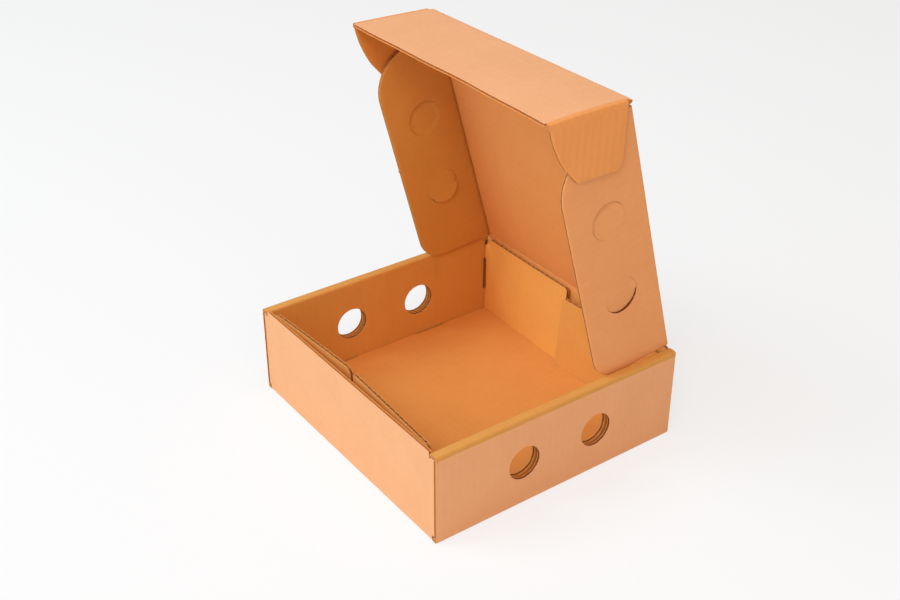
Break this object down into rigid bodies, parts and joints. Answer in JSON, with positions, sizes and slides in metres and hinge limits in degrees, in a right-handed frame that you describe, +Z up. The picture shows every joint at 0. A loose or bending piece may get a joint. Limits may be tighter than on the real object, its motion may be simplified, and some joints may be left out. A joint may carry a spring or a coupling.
{
  "type": "bakery box",
  "caption": "shallow corrugated cardboard box with double side walls, round vent holes, inner corner flaps and a hinged lid with side flaps, a tuck flap and ears",
  "frame": {"origin": "centre of the tray's bottom face", "axes": "+X along the front wall to the right as seen from the front, +Y from the front wall to the hinged rear wall, +Z up"},
  "size_m": [0.25, 0.233, 0.3077],
  "materials": {
    "corrugated_board": "plain brown kraft liners on both faces, fluted core showing at the cut edges"
  },
  "bodies": {
    "tray": {"tray": "corrugated_board"},
    "lid": {"lid": "corrugated_board"},
    "side_flap_left": {"side_flap_left": "corrugated_board"},
    "side_flap_right": {"side_flap_right": "corrugated_board"},
    "tuck_flap": {"tuck_flap": "corrugated_board"},
    "ear_left": {"ear_left": "corrugated_board"},
    "ear_right": {"ear_right": "corrugated_board"},
    "corner_flap_front_left": {"corner_flap_front_left": "corrugated_board"},
    "corner_flap_front_right": {"corner_flap_front_right": "corrugated_board"},
    "corner_flap_rear_left": {"corner_flap_rear_left": "corrugated_board"},
    "corner_flap_rear_right": {"corner_flap_rear_right": "corrugated_board"}
  },
  "joints": [
    {"name": "lid_hinge", "type": "hinge", "parent": "tray", "child": "lid", "pos_m": [0, 0.11515, 0.08065], "axis": [-1, 0, 0], "range_deg": [-54.5, 105.5]},
    {"name": "tuck_flap_fold", "type": "hinge", "parent": "lid", "child": "tuck_flap", "pos_m": [0, 0.05328, 0.30373], "axis": [1, 0, 0], "range_deg": [-72.5, 20]},
    {"name": "ear_left_fold", "type": "hinge", "parent": "tuck_flap", "child": "ear_left", "pos_m": [-0.1178, 0.05328, 0.30373], "axis": [0, -0.9994, 0.0349], "range_deg": [-90, 0]},
    {"name": "ear_right_fold", "type": "hinge", "parent": "tuck_flap", "child": "ear_right", "pos_m": [0.1178, 0.05328, 0.30373], "axis": [0, 0.9994, -0.0349], "range_deg": [-90, 0]},
    {"name": "side_flap_left_fold", "type": "hinge", "parent": "lid", "child": "side_flap_left", "pos_m": [-0.11325, 0.1137, 0.08025], "axis": [0, -0.2672, 0.9636], "range_deg": [0, 85]},
    {"name": "side_flap_right_fold", "type": "hinge", "parent": "lid", "child": "side_flap_right", "pos_m": [0.11325, 0.1137, 0.08025], "axis": [0, 0.2672, -0.9636], "range_deg": [0, 85]},
    {"name": "corner_flap_front_left_fold", "type": "hinge", "parent": "tray", "child": "corner_flap_front_left", "pos_m": [-0.11645, -0.11065, 0.003], "axis": [0, 0, 1], "range_deg": [-3.5, 81.5]},
    {"name": "corner_flap_front_right_fold", "type": "hinge", "parent": "tray", "child": "corner_flap_front_right", "pos_m": [0.11645, -0.11065, 0.003], "axis": [0, 0, -1], "range_deg": [-2.7, 82.3]},
    {"name": "corner_flap_rear_left_fold", "type": "hinge", "parent": "tray", "child": "corner_flap_rear_left", "pos_m": [-0.11645, 0.11065, 0.003], "axis": [0, 0, -1], "range_deg": [-2.1, 77.9]},
    {"name": "corner_flap_rear_right_fold", "type": "hinge", "parent": "tray", "child": "corner_flap_rear_right", "pos_m": [0.11645, 0.11065, 0.003], "axis": [0, 0, 1], "range_deg": [-3.6, 76.4]}
  ]
}
